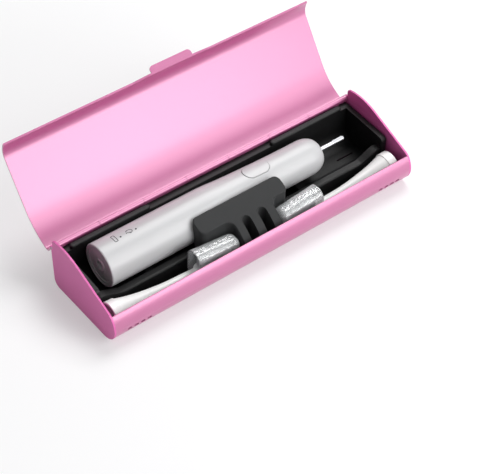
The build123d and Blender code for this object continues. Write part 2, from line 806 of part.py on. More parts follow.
# ---------------------------------------------------------------- button and shaft
button_low_end = button_along - button_length / 2
button_high_end = button_along + button_length / 2
with BuildPart() as power_button:
    with BuildSketch(handle_above(button_floor)):
        with Locations((button_along, 0)):
            SlotOverall(button_length, button_width)
    extrude(amount=handle_radius - button_floor)
    # its top follows the handle, standing proud of it
    tab_low_end = button_low_end - button_tab
    tab_high_end = button_high_end + button_tab
    with BuildSketch(handle_side()):
        with BuildLine():
            Polyline((tab_low_end, 0), (tab_high_end, 0),
                     (tab_high_end, handle_radius_at(tab_high_end) + button_proud),
                     (tab_low_end, handle_radius_at(tab_low_end) + button_proud),
                     close=True)
        make_face()
    revolve(axis=handle_axis, mode=Mode.INTERSECT)
    fillet(power_button.faces().sort_by(Axis.Z)[-1].edges(), button_edge)
    with BuildSketch(handle_above(button_floor)):
        with Locations((button_along, 0)):
            Rectangle(button_length + 2 * (button_tab + seat_gap), button_tab_width)
    extrude(amount=button_tab_thickness)

with BuildPart() as drive_shaft:
    with BuildSketch(handle_across(shaft_start)):
        Circle(shaft_root_radius)
    extrude(amount=shaft_end - shaft_start - shaft_flat)
    with BuildSketch(handle_across(handle_length + seal_flange + seat_gap)):
        Circle(shaft_radius)
    extrude(amount=shaft_end - handle_length - seal_flange - seat_gap)
    chamfer(drive_shaft.faces().sort_by(Axis.X)[-1].edges(), shaft_flat)
    with BuildSketch(handle_above(shaft_radius - shaft_flat)):
        with Locations((shaft_end - shaft_flat_length / 2, 0)):
            Rectangle(shaft_flat_length, 2 * shaft_radius)
    extrude(amount=shaft_radius, mode=Mode.SUBTRACT)

# ---------------------------------------------------------------- brush heads
tilt_angle = radians(head_tilt)
head_along = Vector(cos(tilt_angle), 0, -sin(tilt_angle))
head_up = Vector(sin(tilt_angle), 0, cos(tilt_angle))
head_base_x = inner_half - head_end_gap
head_origin = Vector(-head_base_x, head_y, head_z)
head_axis = Axis(head_origin, head_along)
neck_radius = flank_radii[-1]
cap_end = (head_base_x - notch_right_x - cap_to_holder) / cos(tilt_angle)
head_length = cap_end - cap_front
paddle_start = head_length - paddle_length
paddle_middle = head_length - paddle_length / 2
neck_end = paddle_start + neck_overlap
cap_start = paddle_start - cap_back
flank = [(share * head_length, radius) for share, radius in zip(flank_shares, flank_radii)]


def head_side(offset=0):
    """The plane through a head's axis: local X along it from the base, local Y up."""
    return Plane(origin=head_origin + Vector(0, offset, 0), x_dir=head_along, z_dir=(0, -1, 0))


def head_above(up, along=0):
    """A plane above a head's axis, local X along it."""
    return Plane(origin=head_origin + head_up * up + head_along * along, x_dir=head_along, z_dir=head_up)


def head_across(along):
    """A plane across a head, local X towards the hinge and local Y up."""
    return Plane(origin=head_origin + head_along * along, x_dir=(0, 1, 0), z_dir=head_along)


with BuildPart() as left_brush_neck:
    with BuildSketch(head_above(-paddle_thickness / 2, paddle_middle)):
        SlotOverall(paddle_length, paddle_width)
    extrude(amount=paddle_thickness)
    fillet(left_brush_neck.faces().sort_by(Axis.Z)[-1].edges(), paddle_edge)
    fillet(left_brush_neck.faces().sort_by(Axis.Z)[0].edges(), paddle_edge)
    with BuildSketch(head_side()) as neck_section:
        with BuildLine():
            shoulder = (ring_length, ring_radius - ring_step)
            Polyline((0, ring_radius - ring_wall), (0, ring_radius), (ring_length, ring_radius), shoulder)
            Spline([shoulder, *flank], tangents=((1, neck_slope), (1, 0)))
            Polyline(flank[-1], (neck_end, neck_radius), (neck_end, 0), (socket_end, 0),
                     (socket_end, socket_radius), (hollow_depth, socket_radius),
                     (hollow_depth, hollow_radius), (ring_length, ring_radius - ring_step - ring_wall),
                     (0, ring_radius - ring_wall))
        make_face()
        round_corners(neck_section, [
            ((0, ring_radius), ring_step),
            ((ring_length, ring_radius), ring_step / 2),
            ((neck_end, neck_radius), paddle_round),
        ])
    revolve(axis=head_axis)

with BuildPart() as left_shaft_socket:
    with BuildSketch(head_side()):
        with BuildLine():
            ring(shaft_radius + shaft_clearance, socket_radius, socket_start, socket_end)
        make_face()
    revolve(axis=head_axis)

with BuildPart() as left_bristles:
    pad_edge = 2 * (bristle_radius + pad_margin)
    with BuildSketch(head_above(paddle_thickness / 2, paddle_middle)):
        SlotOverall((bristle_row_count - 1) * bristle_pitch + pad_edge,
                    (bristle_column_count - 1) * bristle_column_pitch + pad_edge)
    extrude(amount=pad_thickness)
    with BuildSketch(head_above(paddle_thickness / 2, paddle_middle)):
        with GridLocations(bristle_pitch, bristle_column_pitch, bristle_row_count, bristle_column_count):
            RegularPolygon(bristle_radius, 8)
    extrude(amount=bristle_height)

cap_solids = []
for inset in (0, cap_wall):
    with BuildPart() as cap_solid:
        low = cap_low + inset
        for along in (cap_start - inset, cap_end - inset):
            top = cap_top - inset - (along - cap_start) * tan(radians(cap_draft))
            with BuildSketch(head_across(along)) as cap_section:
                with Locations((0, (top - low) / 2)):
                    Rectangle(cap_width - 2 * inset, top + low)
                fillet(cap_section.vertices().group_by(Axis.Z)[-1], cap_round - inset)
        loft()
        tip_face = cap_solid.faces().sort_by(Axis.X)[-1]
        fillet(tip_face.edges().sort_by(Axis.Z)[1:], cap_tip_round - inset)
    cap_solids.append(cap_solid.part)
with BuildPart() as left_head_cap:
    add(cap_solids[0])
    add(cap_solids[1], mode=Mode.SUBTRACT)

# ---------------------------------------------------------------- holder that straddles handle and heads
recess = handle_radius + seat_gap
recess_low = crest_height + seat_gap
holder_back_y = handle_y - handle_radius + holder_overhang
holder_front_y = channel_front_y + holder_front_gap
recess_high = handle_z + sqrt(recess**2 - (handle_y - holder_back_y) ** 2)
holder_bend = (holder_back_y - holder_top, holder_back_z - holder_top * tan(radians(holder_slope)))
holder_foot = floor_z + seat_gap
leg_gap = seat_gap + 0.1
notch_y = head_y + cap_width / 2 + leg_gap
slot_back_y = notch_y - slot_inset
with BuildPart() as brush_holder:
    with BuildSketch(Plane.YZ.offset(holder_left)) as holder_section:
        with BuildLine():
            Line((holder_back_y, holder_back_z), holder_bend)
            SagittaArc(holder_bend, (holder_front_y, holder_front_z), -holder_sagitta)
            Polyline((holder_front_y, holder_front_z), (holder_front_y, holder_foot),
                     (channel_back_y - leg_gap, holder_foot), (crest_front_y - leg_gap, recess_low),
                     (handle_y - recess, recess_low), (handle_y - recess, handle_z))
            RadiusArc((handle_y - recess, handle_z), (holder_back_y, recess_high), recess)
            Line((holder_back_y, recess_high), (holder_back_y, holder_back_z))
        make_face()
        round_corners(holder_section, [((holder_front_y, holder_foot), channel_round - 2 * seat_gap)])
    extrude(amount=holder_right - holder_left)
    with BuildSketch(Plane.XY) as holder_plan:
        with BuildLine():
            Polyline((holder_left, holder_back_y), (holder_right, holder_back_y), (holder_right, notch_y),
                     (notch_right_x, notch_y), (notch_right_x, holder_front_y),
                     (notch_left_x, holder_front_y), (notch_left_x, notch_y), (holder_left, notch_y),
                     close=True)
        make_face()
        round_corners(holder_plan, [
            ((holder_left, holder_back_y), holder_corner),
            ((holder_right, holder_back_y), holder_corner),
            ((holder_left, notch_y), holder_corner),
            ((holder_right, notch_y), holder_corner),
            ((notch_left_x, notch_y), notch_round),
            ((notch_right_x, notch_y), notch_round),
            ((notch_left_x, holder_front_y), holder_edge),
            ((notch_right_x, holder_front_y), holder_edge),
        ])
        for x in slot_centres:
            with Locations((x, slot_back_y - slot_width / 2)):
                Circle(slot_width / 2, mode=Mode.SUBTRACT)
            with Locations((x, (slot_back_y - slot_width / 2 + front_y) / 2)):
                Rectangle(slot_width, slot_back_y - slot_width / 2 - front_y, mode=Mode.SUBTRACT)
    extrude(amount=crown_height, mode=Mode.INTERSECT)
    back_edges = brush_holder.edges().filter_by(Axis.X).filter_by_position(
        Axis.Z, holder_back_z - 0.01, holder_back_z + 0.01)
    fillet(back_edges, holder_edge)

# ---------------------------------------------------------------- the right head is the left one mirrored
right_pieces = {}
for name, piece in (
    ("brush_neck", left_brush_neck),
    ("shaft_socket", left_shaft_socket),
    ("bristles", left_bristles),
    ("head_cap", left_head_cap),
):
    with BuildPart() as right_piece:
        mirror(piece.part, about=Plane.YZ)
    right_pieces["right_" + name] = right_piece

# ---------------------------------------------------------------- export
pieces = {
    "base_shell": base_shell,
    **end_plates,
    "hinge_pin": hinge_pin,
    "lid_shell": lid_shell,
    "inner_tray": inner_tray,
    "handle_housing": handle_housing,
    "base_cap": base_cap,
    "seal_ring": seal_ring,
    "charging_coil": charging_coil,
    "inner_frame": inner_frame,
    "battery": battery,
    "drive_motor": drive_motor,
    "circuit_board": circuit_board,
    "indicator_lenses": indicator_lenses,
    "shaft_seal": shaft_seal,
    "power_button": power_button,
    "drive_shaft": drive_shaft,
    "left_brush_neck": left_brush_neck,
    "left_shaft_socket": left_shaft_socket,
    "left_bristles": left_bristles,
    "left_head_cap": left_head_cap,
    **right_pieces,
    "brush_holder": brush_holder,
}
for label, piece in pieces.items():
    piece.part.label = label
    export_step(piece.part, f"parts/{label}.step")
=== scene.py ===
# %% Load the frame
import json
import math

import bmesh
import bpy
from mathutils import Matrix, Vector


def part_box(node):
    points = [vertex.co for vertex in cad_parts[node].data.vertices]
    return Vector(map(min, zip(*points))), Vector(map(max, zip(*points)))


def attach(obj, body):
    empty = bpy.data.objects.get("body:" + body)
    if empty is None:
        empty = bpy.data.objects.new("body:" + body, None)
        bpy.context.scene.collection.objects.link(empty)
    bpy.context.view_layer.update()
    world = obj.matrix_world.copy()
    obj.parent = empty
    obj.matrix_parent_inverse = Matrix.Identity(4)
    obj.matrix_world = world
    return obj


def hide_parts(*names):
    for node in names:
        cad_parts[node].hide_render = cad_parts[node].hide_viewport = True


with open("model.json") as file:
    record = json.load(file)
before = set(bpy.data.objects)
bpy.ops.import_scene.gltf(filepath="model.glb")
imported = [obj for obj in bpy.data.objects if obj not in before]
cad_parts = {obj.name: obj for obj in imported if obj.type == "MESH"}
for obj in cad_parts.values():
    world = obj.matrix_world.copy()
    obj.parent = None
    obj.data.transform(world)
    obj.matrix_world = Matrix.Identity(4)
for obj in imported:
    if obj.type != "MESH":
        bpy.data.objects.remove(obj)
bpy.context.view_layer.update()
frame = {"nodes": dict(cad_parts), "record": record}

# %% [markdown]
# # A travel case for an electric toothbrush
# The case is a long box of thin pink metal with a curved lid, a black moulded tray, a white
# toothbrush, a rubber holder and two brush heads in clear caps. Their rigid shapes come from
# the frame, in metres. This notebook gives them their finishes, and makes the two things that
# solids are poor at: brush bristles and the fine marks printed on the handle.
#
# Three helpers come first. A designer picks colours as sRGB hex values, but Blender's sockets
# want linear ones. Patterns are easiest to judge by their size on the object, so sizes are
# written in millimetres.

MM = 0.001


def paint(hex_code):
    """An sRGB hex value as linear red, green, blue and alpha."""
    channels = [int(hex_code[i:i + 2], 16) / 255 for i in (1, 3, 5)]
    linear = [c / 12.92 if c <= 0.04045 else ((c + 0.055) / 1.055) ** 2.4 for c in channels]
    return (*linear, 1.0)


def per_mm(size):
    """The scale of a texture on Object coordinates whose features are this many mm wide."""
    return 1 / (size * MM)


def add(tree, kind, inputs=None, **settings):
    """Adds one node with its settings; an input is a value, or the output that feeds it."""
    new = tree.nodes.new(kind)
    for key, value in settings.items():
        setattr(new, key, value)
    for key, value in (inputs or {}).items():
        if isinstance(value, bpy.types.NodeSocket):
            tree.links.new(value, new.inputs[key])
        else:
            new.inputs[key].default_value = value
    return new


# %% [markdown]
# ## Camera
# A long lens from about a metre away keeps the case's long edges almost parallel, as in a
# catalogue picture. The camera stands at the front left and looks down steeply enough to show
# the inside of the case. It is set by its place, an azimuth and a height angle, because two
# angles are easier to read than three rotations.

# %% Camera
azimuth, height = math.radians(37.64), math.radians(44.67)
standpoint = (-0.42735, -0.55659, 0.68936)
focal_pixels = 1568.93
picture_pixels = 481
camera_data = bpy.data.cameras.new("camera")
camera_data.sensor_width = 36.0
camera_data.lens = focal_pixels / picture_pixels * camera_data.sensor_width
camera = bpy.data.objects.new("camera", camera_data)
camera.location = standpoint
camera.rotation_euler = (math.pi / 2 - height, 0.0, -azimuth)
bpy.context.scene.collection.objects.link(camera)
bpy.context.scene.camera = camera
print("lens", round(camera_data.lens, 1), "mm")

# %% [markdown]
# ## Floor, world and lamps
# The case stands on a sheet of white card that is larger than the view. A white card never
# renders quite white, so for the camera, for reflections and through clear plastic it glows a
# little. The shadow under the case stays, because only a part of the card's look is glow.
#
# Thin curved metal is shown best by a few large soft lamps with something darker between them.
# One lies overhead, and a second stands low in front, where the open lid mirrors it towards the
# viewer. That second lamp gives the lid its pale, even sheen, and leaves the end plates darker.
# A weak third one fills the gap between the two. The lid's bend mirrors that gap as a soft
# crease, which is what makes it look bent, and without the fill the crease would be black.
# The room is pale at the horizon, so that low views have a pale background, and dim above it.

# %% Floor
bpy.context.scene.view_settings.view_transform = "Standard"
glow_share = 0.35
card_reach = 6
card = bpy.data.materials.new("white_card")
card.use_nodes = True
card_tree = card.node_tree
card_tree.nodes.clear()
matt = add(card_tree, "ShaderNodeBsdfDiffuse", {"Color": paint("#F4F4F5")})
glow = add(card_tree, "ShaderNodeEmission", {"Color": paint("#FFFFFF"), "Strength": 1.0})
seen = add(card_tree, "ShaderNodeLightPath")
either = add(card_tree, "ShaderNodeMath", {
    0: seen.outputs["Is Camera Ray"], 1: seen.outputs["Is Glossy Ray"],
}, operation="MAXIMUM")
any_of = add(card_tree, "ShaderNodeMath", {0: either.outputs[0], 1: seen.outputs["Is Transmission Ray"]},
             operation="MAXIMUM")
share = add(card_tree, "ShaderNodeMath", {0: any_of.outputs[0], 1: glow_share}, operation="MULTIPLY")
blend = add(card_tree, "ShaderNodeMixShader", {
    0: share.outputs[0], 1: matt.outputs[0], 2: glow.outputs[0],
})
add(card_tree, "ShaderNodeOutputMaterial", {"Surface": blend.outputs[0]})

floor_mesh = bpy.data.meshes.new("floor")
corners = [(x * card_reach, y * card_reach, 0) for x, y in ((-1, -1), (1, -1), (1, 1), (-1, 1))]
floor_mesh.from_pydata(corners, [], [(0, 1, 2, 3)])
floor_mesh.materials.append(card)
floor = bpy.data.objects.new("floor", floor_mesh)
bpy.context.scene.collection.objects.link(floor)
print("floor", floor.dimensions.x, "m square")

# %% World
world = bpy.data.worlds.new("studio")
bpy.context.scene.world = world
world.use_nodes = True
sky = world.node_tree
sky.nodes.clear()
around = add(sky, "ShaderNodeTexCoord")
upwards = add(sky, "ShaderNodeSeparateXYZ", {0: around.outputs["Generated"]})
walls = add(sky, "ShaderNodeValToRGB", {0: upwards.outputs["Z"]})
levels = {
    # sine of the height angle: how bright the room is there
    0.0: 0.80, 0.07: 0.45, 0.42: 0.30, 0.62: 0.25, 0.85: 0.35,
}
bands = walls.color_ramp.elements
while len(bands) < len(levels):
    bands.new(0.5)  # the loop below gives each band its real position
for band, (position, level) in zip(bands, levels.items()):
    band.position = position
    band.color = (level, level, level, 1.0)
studio = add(sky, "ShaderNodeBackground", {"Color": walls.outputs[0], "Strength": 1.0})
add(sky, "ShaderNodeOutputWorld", {"Surface": studio.outputs[0]})
print("room in", len(bands), "bands")

# %% Lamps
lamps = {
    # name: place in metres, width and depth in metres, power in watts
    "overhead": ((0.70, 0.40, 1.30), (0.90, 0.80), 15.0),
    "fill": ((0.55, -0.85, 0.95), (0.80, 0.60), 5.5),
    "front": ((0.42, -1.20, 0.42), (0.95, 0.55), 10.0),
}
lit_point = Vector((0.0, 0.02, 0.03))
for name, (place, size, power) in lamps.items():
    lamp_data = bpy.data.lights.new(name, "AREA")
    lamp_data.shape = "RECTANGLE"
    lamp_data.size, lamp_data.size_y = size
    lamp_data.energy = power
    lamp = bpy.data.objects.new(name, lamp_data)
    lamp.location = place
    aim = lit_point - lamp.location
    lamp.rotation_euler = aim.to_track_quat("-Z", "Y").to_euler()
    bpy.context.scene.collection.objects.link(lamp)
    print(name, "lamp at", round(aim.length, 2), "m,", power, "W")

# %% [markdown]
# ## Finishes: how a material starts
# Every finish here is one Principled shader with a little texture on it. The texture reads
# Object coordinates, so it is fixed to the piece and keeps its real size. The start is the same
# for all of them: an output, the shader and the coordinates. What makes a finish itself comes
# after that, in a cell of its own.

# %% Starting a finish
finishes = {}


def start_finish(slot_name, name, constants):
    """A material with its shader's constant values set, kept under the record's slot name."""
    material = bpy.data.materials.new(name)
    material.use_nodes = True
    tree = material.node_tree
    tree.nodes.clear()
    shader = add(tree, "ShaderNodeBsdfPrincipled", constants)
    add(tree, "ShaderNodeOutputMaterial", {"Surface": shader.outputs[0]})
    place = add(tree, "ShaderNodeTexCoord")
    finishes[slot_name] = material
    return tree, shader, place.outputs["Object"]


# %% [markdown]
# ## Pink shell
# The lid and the base are sheet aluminium, blasted with fine glass beads, anodised and dyed.
# Anodising grows a clear skin of aluminium oxide, and the dye sits in it. So
# the colour below is deep and only partly metallic, and the skin's own surface mirrors the
# lamps in white: that is the pale veil on the lid. A clear coat with the oxide's index of 1.77
# over a partly metallic base gives both. The blasting leaves a grain of some 0.1 mm, which is
# too fine to show here, so it is drawn at 0.7 mm and kept faint. A second, broad noise varies
# the dye a little, as a real bath does.

# %% Bead-blasted anodised aluminium, dyed pink
shell_tree, shell, spot = start_finish("pink_shell", "anodised_aluminium_bead_blasted_pink", {
    "Metallic": 0.35, "Roughness": 0.42, "Coat Weight": 1.0, "Coat Roughness": 0.34, "Coat IOR": 1.77,
})
dye = add(shell_tree, "ShaderNodeTexNoise", {"Vector": spot, "Scale": per_mm(60), "Detail": 2.0})
tint = add(shell_tree, "ShaderNodeMix", {0: dye.outputs[0], 6: paint("#BB5E90"), 7: paint("#B75B8D")},
           data_type="RGBA")
shell_tree.links.new(tint.outputs[2], shell.inputs["Base Color"])
grain = add(shell_tree, "ShaderNodeTexNoise", {"Vector": spot, "Scale": per_mm(0.7), "Detail": 3.0})
dents = add(shell_tree, "ShaderNodeBump", {
    "Height": grain.outputs[0], "Strength": 0.12, "Distance": 0.02 * MM,
})
shell_tree.links.new(dents.outputs[0], shell.inputs["Normal"])
print(finishes["pink_shell"].name)

# %% [markdown]
# The end plates are stamped from the same sheet, but they are etched matt instead of blasted,
# which hides the marks of the press. Their clear coat has less than a third of the weight of the
# shell's, so they are duller, mirror less white and look darker than the lid.

# %% Etched aluminium for the end plates
plate_tree, plate, spot = start_finish("end_plate", "aluminium_etched_matt_pink", {
    "Metallic": 0.25, "Roughness": 0.55, "Coat Weight": 0.3, "Coat Roughness": 0.4,
})
bath = add(plate_tree, "ShaderNodeTexNoise", {"Vector": spot, "Scale": per_mm(30), "Detail": 2.0})
shade = add(plate_tree, "ShaderNodeMix", {0: bath.outputs[0], 6: paint("#D663A8"), 7: paint("#CF5FA1")},
            data_type="RGBA")
plate_tree.links.new(shade.outputs[2], plate.inputs["Base Color"])
etch = add(plate_tree, "ShaderNodeTexNoise", {"Vector": spot, "Scale": per_mm(0.5), "Detail": 3.0})
pits = add(plate_tree, "ShaderNodeBump", {
    "Height": etch.outputs[0], "Strength": 0.12, "Distance": 0.02 * MM,
})
plate_tree.links.new(pits.outputs[0], plate.inputs["Normal"])
print(finishes["end_plate"].name)

# %% [markdown]
# ## Tray and holder
# The tray is moulded in black ABS. Its mould is etched, which leaves a fine leathery grain that
# scatters light and hides scratches: cells of about 0.8 mm, drawn with a Voronoi pattern that
# feeds the bump and, slightly, the roughness. The holder is moulded in silicone rubber. Rubber
# has no real shine, only a soft lift in brightness at grazing angles, which the sheen gives.

# %% Etched black ABS
tray_tree, tray, spot = start_finish("black_tray", "abs_moulded_etched_black", {
    "Base Color": paint("#0A0A0B"), "IOR": 1.53, "Specular IOR Level": 0.35,
})
cells = add(tray_tree, "ShaderNodeTexVoronoi", {"Vector": spot, "Scale": per_mm(0.8)})
gloss = add(tray_tree, "ShaderNodeMapRange", {"Value": cells.outputs["Distance"], 3: 0.42, 4: 0.58})
tray_tree.links.new(gloss.outputs[0], tray.inputs["Roughness"])
etched = add(tray_tree, "ShaderNodeBump", {"Height": cells.outputs["Distance"], "Strength": 0.35,
                                           "Distance": 0.03 * MM})
tray_tree.links.new(etched.outputs[0], tray.inputs["Normal"])
print(finishes["black_tray"].name)

# %% Soft-touch silicone rubber
holder_tree, holder, spot = start_finish("grey_rubber", "silicone_rubber_moulded_charcoal", {
    "Roughness": 0.66, "IOR": 1.43, "Sheen Weight": 0.12, "Sheen Roughness": 0.5,
})
bloom = add(holder_tree, "ShaderNodeTexNoise", {"Vector": spot, "Scale": per_mm(14), "Detail": 4.0})
charcoal = add(holder_tree, "ShaderNodeMix", {
    0: bloom.outputs[0], 6: paint("#1C1D1E"), 7: paint("#232425"),
}, data_type="RGBA")
holder_tree.links.new(charcoal.outputs[2], holder.inputs["Base Color"])
skin = add(holder_tree, "ShaderNodeTexNoise", {"Vector": spot, "Scale": per_mm(0.6), "Detail": 2.0})
soft = add(holder_tree, "ShaderNodeBump", {"Height": skin.outputs[0], "Strength": 0.3, "Distance": 0.03 * MM})
holder_tree.links.new(soft.outputs[0], holder.inputs["Normal"])
print(finishes["grey_rubber"].name)

# %% [markdown]
# ## Handle
# The handle's tube is moulded ABS under a satin white lacquer. Lacquer dries with a slight
# orange peel, waves of about 2 mm that are only some micrometres deep, so it is a bump and
# never a shape. Its cap is grey ABS, turned with shallow rings around the handle's own axis, and
# it looks dark because it faces the end of the case. A Mapping node centres the ring pattern. A
# wave pattern runs through 20 radians in each unit at scale 1. So its size is given here as
# millimetres for one radian, and 0.9 mm makes a ring every 5.7 mm.

# %% Satin white lacquer
lacquer_tree, lacquer, spot = start_finish("white_housing", "abs_lacquered_satin_white", {
    "Roughness": 0.46, "IOR": 1.5, "Coat Weight": 0.5, "Coat Roughness": 0.32,
})
film = add(lacquer_tree, "ShaderNodeTexNoise", {"Vector": spot, "Scale": per_mm(25), "Detail": 2.0})
ivory = add(lacquer_tree, "ShaderNodeMix", {0: film.outputs[0], 6: paint("#BFBFC0"), 7: paint("#BABABC")},
            data_type="RGBA")
lacquer_tree.links.new(ivory.outputs[2], lacquer.inputs["Base Color"])
peel = add(lacquer_tree, "ShaderNodeTexNoise", {"Vector": spot, "Scale": per_mm(2.0), "Detail": 1.0})
waves = add(lacquer_tree, "ShaderNodeBump", {
    "Height": peel.outputs[0], "Strength": 0.1, "Distance": 0.03 * MM,
})
lacquer_tree.links.new(waves.outputs[0], lacquer.inputs["Normal"])
print(finishes["white_housing"].name)

# %% Grey ABS with shallow rings
wave_radians = 20
ring_radian = 0.9
handle_low, handle_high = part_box("base_cap")
handle_axis = ((handle_low.y + handle_high.y) / 2, (handle_low.z + handle_high.z) / 2)
cap_tree, cap, spot = start_finish("dark_base", "abs_moulded_grey_ringed", {
    "Base Color": paint("#BBC2BF"), "Roughness": 0.42, "IOR": 1.53,
})
centred = add(cap_tree, "ShaderNodeMapping", {
    "Vector": spot, "Location": (0.0, -handle_axis[0], -handle_axis[1]),
})
rings = add(cap_tree, "ShaderNodeTexWave", {
    "Vector": centred.outputs[0], "Scale": per_mm(ring_radian) / wave_radians, "Distortion": 0.0,
}, wave_type="RINGS", rings_direction="X")
turned = add(cap_tree, "ShaderNodeBump", {
    "Height": rings.outputs["Fac"], "Strength": 0.25, "Distance": 0.03 * MM,
})
cap_tree.links.new(turned.outputs[0], cap.inputs["Normal"])
print("handle axis at y", round(handle_axis[0] / MM, 2), "z", round(handle_axis[1] / MM, 2), "mm")

# %% [markdown]
# ## Steel
# The drive shaft is ground stainless steel and the hinge pin is drawn wire. Both keep the marks
# of how they were made: scratches around the shaft, and long ones along the pin. One noise
# squeezed along the right axis gives each of them. A metal's colour is in its base colour, and
# its IOR stays as it is.

# %% Ground shaft and drawn pin
for slot_name, name, squeeze in (
    # slot, name, cells of noise in a metre along x, y and z
    ("shaft_steel", "stainless_steel_ground", (9000.0, 600.0, 600.0)),
    ("steel_pin", "steel_wire_drawn", (60.0, 5000.0, 5000.0)),
    ("motor_can", "steel_can_drawn", (60.0, 2500.0, 2500.0)),
):
    steel_tree, steel, spot = start_finish(slot_name, name, {"Base Color": paint("#A4A5A8"), "Metallic": 1.0})
    stretched = add(steel_tree, "ShaderNodeMapping", {"Vector": spot, "Scale": squeeze})
    scratches = add(steel_tree, "ShaderNodeTexNoise", {"Vector": stretched.outputs[0], "Scale": 1.0,
                                                       "Detail": 2.0})
    dull = add(steel_tree, "ShaderNodeMapRange", {"Value": scratches.outputs[0], 3: 0.18, 4: 0.42})
    steel_tree.links.new(dull.outputs[0], steel.inputs["Roughness"])
    print(finishes[slot_name].name)

# %% [markdown]
# ## Brush heads
# The necks are moulded in white polypropylene, a slightly waxy plastic: light enters it and
# comes out again nearby, which takes the hardness out of its shading. The bristles are nylon
# filaments, which are whitish and let some light through. The caps are clear styrene. Clear
# plastic is all about its surface, so the caps get the small waves that moulding leaves in
# them, and those break up what they mirror.

# %% White polypropylene
neck_tree, neck, spot = start_finish("head_white", "polypropylene_moulded_white", {
    "Base Color": paint("#F0F0EF"), "Roughness": 0.3, "IOR": 1.49,
    "Subsurface Weight": 0.2, "Subsurface Radius": (1.0, 1.0, 1.0), "Subsurface Scale": 0.6 * MM,
})
flow = add(neck_tree, "ShaderNodeTexNoise", {"Vector": spot, "Scale": per_mm(6), "Detail": 1.0})
sink = add(neck_tree, "ShaderNodeBump", {"Height": flow.outputs[0], "Strength": 0.15, "Distance": 0.08 * MM})
neck_tree.links.new(sink.outputs[0], neck.inputs["Normal"])
print(finishes["head_white"].name)

# %% Nylon filament
nylon_tree, nylon, spot = start_finish("bristle_nylon", "nylon_filament_white", {
    "Roughness": 0.35, "IOR": 1.53, "Transmission Weight": 0.05,
})
strand = add(nylon_tree, "ShaderNodeTexNoise", {"Vector": spot, "Scale": per_mm(0.5), "Detail": 1.0})
whites = add(nylon_tree, "ShaderNodeMix", {0: strand.outputs[0], 6: paint("#DDE3E8"), 7: paint("#FAFBFC")},
             data_type="RGBA")
nylon_tree.links.new(whites.outputs[2], nylon.inputs["Base Color"])
print(finishes["bristle_nylon"].name)

# %% Clear styrene
clear_tree, clear, spot = start_finish("clear_cap", "styrene_moulded_clear", {
    "Base Color": paint("#F6F8F9"), "Roughness": 0.11, "IOR": 1.57,
    "Transmission Weight": 0.7, "Alpha": 0.78,
    "Coat Weight": 0.5, "Coat Roughness": 0.1, "Coat IOR": 1.6,
})
melt = add(clear_tree, "ShaderNodeTexNoise", {"Vector": spot, "Scale": per_mm(2.0), "Detail": 2.0})
ripple = add(clear_tree, "ShaderNodeBump", {"Height": melt.outputs[0], "Strength": 0.9, "Distance": 0.4 * MM})
clear_tree.links.new(ripple.outputs[0], clear.inputs["Normal"])
clear_tree.links.new(ripple.outputs[0], clear.inputs["Coat Normal"])
print(finishes["clear_cap"].name)

# %% [markdown]
# ## Small and inner pieces
# The light lenses are smoked polycarbonate, the seals are pale silicone. Inside the closed
# handle sit the cell in its shrink wrap, the coil, the circuit board and the frame that carries
# them. They show only when the handle is taken apart, and still each gets what makes it
# recognisable: wound wire, solder mask with copper tracks under it, wrinkled wrap. The coil's
# turns are drawn 2.5 mm apart, much coarser than real ones, so that they would show.

# %% Seals, lenses and the inner frame
for slot_name, name, colour, rough, index, size in (
    # slot, name, colour, roughness, index of refraction, width of the mottle in mm
    ("pale_seal", "silicone_seal_pale", "#A9AAAD", 0.5, 1.43, 1.2),
    ("light_lens", "polycarbonate_smoked", "#3A3B3D", 0.15, 1.58, 3.0),
    ("frame_plastic", "nylon_moulded_grey", "#A2A3A6", 0.5, 1.53, 1.0),
):
    small_tree, small, spot = start_finish(slot_name, name, {"Base Color": paint(colour), "Roughness": rough,
                                                             "IOR": index})
    mottle = add(small_tree, "ShaderNodeTexNoise", {"Vector": spot, "Scale": per_mm(size), "Detail": 2.0})
    rise = add(small_tree, "ShaderNodeBump", {
        "Height": mottle.outputs[0], "Strength": 0.2, "Distance": 0.03 * MM,
    })
    small_tree.links.new(rise.outputs[0], small.inputs["Normal"])
    print(finishes[slot_name].name)

# %% Cell wrap, wound copper and circuit board
coil_radian = 0.4
track_pitch = 2.2
wrap_tree, wrap, spot = start_finish("cell_wrap", "pvc_shrink_wrap_blue", {"Base Color": paint("#2F5F9B"),
                                                                          "Roughness": 0.35})
crease = add(wrap_tree, "ShaderNodeTexNoise", {"Vector": spot, "Scale": per_mm(5), "Detail": 3.0,
                                               "Distortion": 0.6})
wrinkle = add(wrap_tree, "ShaderNodeBump", {
    "Height": crease.outputs[0], "Strength": 0.4, "Distance": 0.1 * MM,
})
wrap_tree.links.new(wrinkle.outputs[0], wrap.inputs["Normal"])

coil_tree, coil, spot = start_finish("coil_wire", "copper_wire_enamelled", {"Base Color": paint("#B87333"),
                                                                          "Metallic": 1.0, "Roughness": 0.3})
turns = add(coil_tree, "ShaderNodeTexWave", {"Vector": spot, "Scale": per_mm(coil_radian) / wave_radians},
            bands_direction="X")
wound = add(coil_tree, "ShaderNodeBump", {
    "Height": turns.outputs["Fac"], "Strength": 0.6, "Distance": 0.1 * MM,
})
coil_tree.links.new(wound.outputs[0], coil.inputs["Normal"])

board_tree, board, spot = start_finish("board_green", "solder_mask_green", {"Roughness": 0.35, "IOR": 1.5})
tracks = add(board_tree, "ShaderNodeTexBrick", {
    # a row of bricks is a quarter of a unit high at scale 1
    "Vector": spot, "Scale": per_mm(track_pitch) / 4, "Mortar Size": 0.06, "Color1": paint("#0F4A29"),
    "Color2": paint("#125330"), "Mortar": paint("#2C7A45"),
})
board_tree.links.new(tracks.outputs["Color"], board.inputs["Base Color"])
print(len(finishes), "finishes")

# %% Giving the solids their finishes
for part in frame["record"]["subparts"]:
    solid = frame["nodes"][part["node"]]
    solid.data.materials.clear()
    solid.data.materials.append(finishes[part["material_slot"]])
